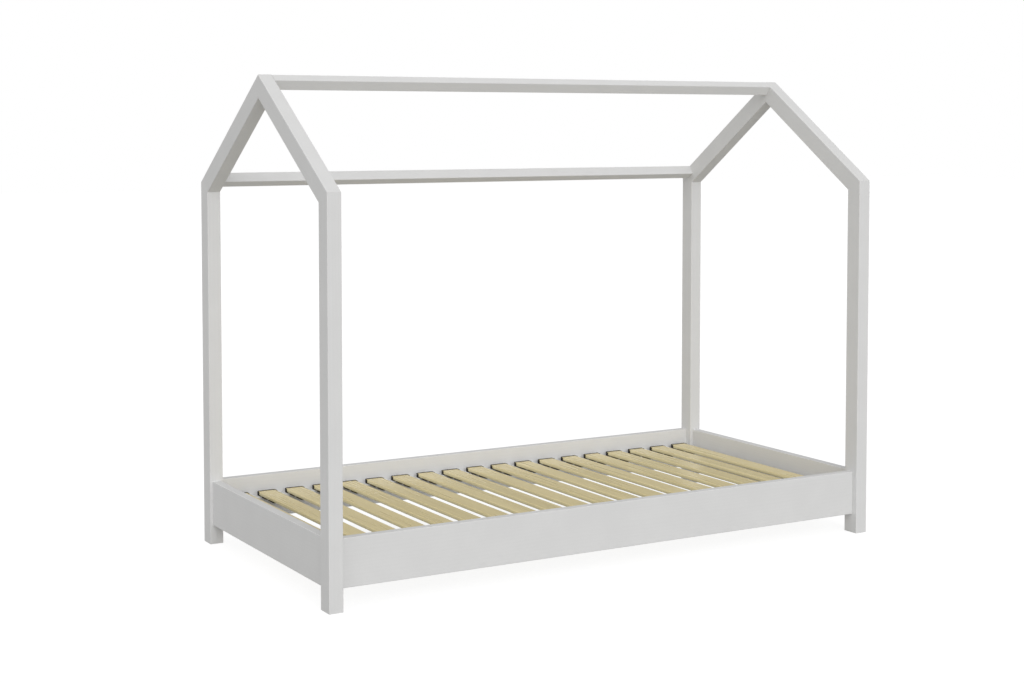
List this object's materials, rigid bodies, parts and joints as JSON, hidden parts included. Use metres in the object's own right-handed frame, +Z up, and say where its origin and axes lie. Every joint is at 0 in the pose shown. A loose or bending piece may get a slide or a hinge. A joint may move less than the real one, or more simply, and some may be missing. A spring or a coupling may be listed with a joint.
{
  "type": "house frame bed",
  "caption": "Low child's bed in a house-shaped frame: two gable ends joined by a ridge beam and a rear eave beam, skirt boards between the posts, flat slats in sprung holders.",
  "frame": {"origin": "on the floor under the middle of the bed's overall length and width", "axes": "+X along the bed's length towards its right end as seen from the front, +Y from front to rear (the rear has the eave beam), +Z up"},
  "size_m": [2.01, 1.022, 1.552],
  "materials": {
    "white_lacquer": "white satin lacquer on softwood",
    "slat_wood": "clear matt on laminated wood",
    "holder_plastic": "fine moulded texture, black",
    "zinc_steel": "bright zinc plating",
    "plywood": "raw birch plywood"
  },
  "bodies": {
    "root": {"apex_tongues": "plywood", "front_left_post": "white_lacquer", "front_right_post": "white_lacquer", "front_side_rail": "white_lacquer", "front_slat_ledge": "white_lacquer", "left_end_rail": "white_lacquer", "left_front_rafter": "white_lacquer", "left_rear_rafter": "white_lacquer", "post_slot_plates": "zinc_steel", "rail_hook_plates": "zinc_steel", "rear_eave_beam": "white_lacquer", "rear_left_post": "white_lacquer", "rear_right_post": "white_lacquer", "rear_side_rail": "white_lacquer", "rear_slat_ledge": "white_lacquer", "ridge_beam": "white_lacquer", "right_end_rail": "white_lacquer", "right_front_rafter": "white_lacquer", "right_rear_rafter": "white_lacquer", "shoulder_tongues": "plywood", "slat_01": "slat_wood", "slat_02": "slat_wood", "slat_03": "slat_wood", "slat_04": "slat_wood", "slat_05": "slat_wood", "slat_06": "slat_wood", "slat_07": "slat_wood", "slat_08": "slat_wood", "slat_09": "slat_wood", "slat_10": "slat_wood", "slat_11": "slat_wood", "slat_12": "slat_wood", "slat_13": "slat_wood", "slat_14": "slat_wood", "slat_15": "slat_wood", "slat_16": "slat_wood", "slat_17": "slat_wood", "slat_18": "slat_wood", "slat_19": "slat_wood", "slat_holders_front": "holder_plastic", "slat_holders_rear": "holder_plastic"}
  },
  "joints": []
}
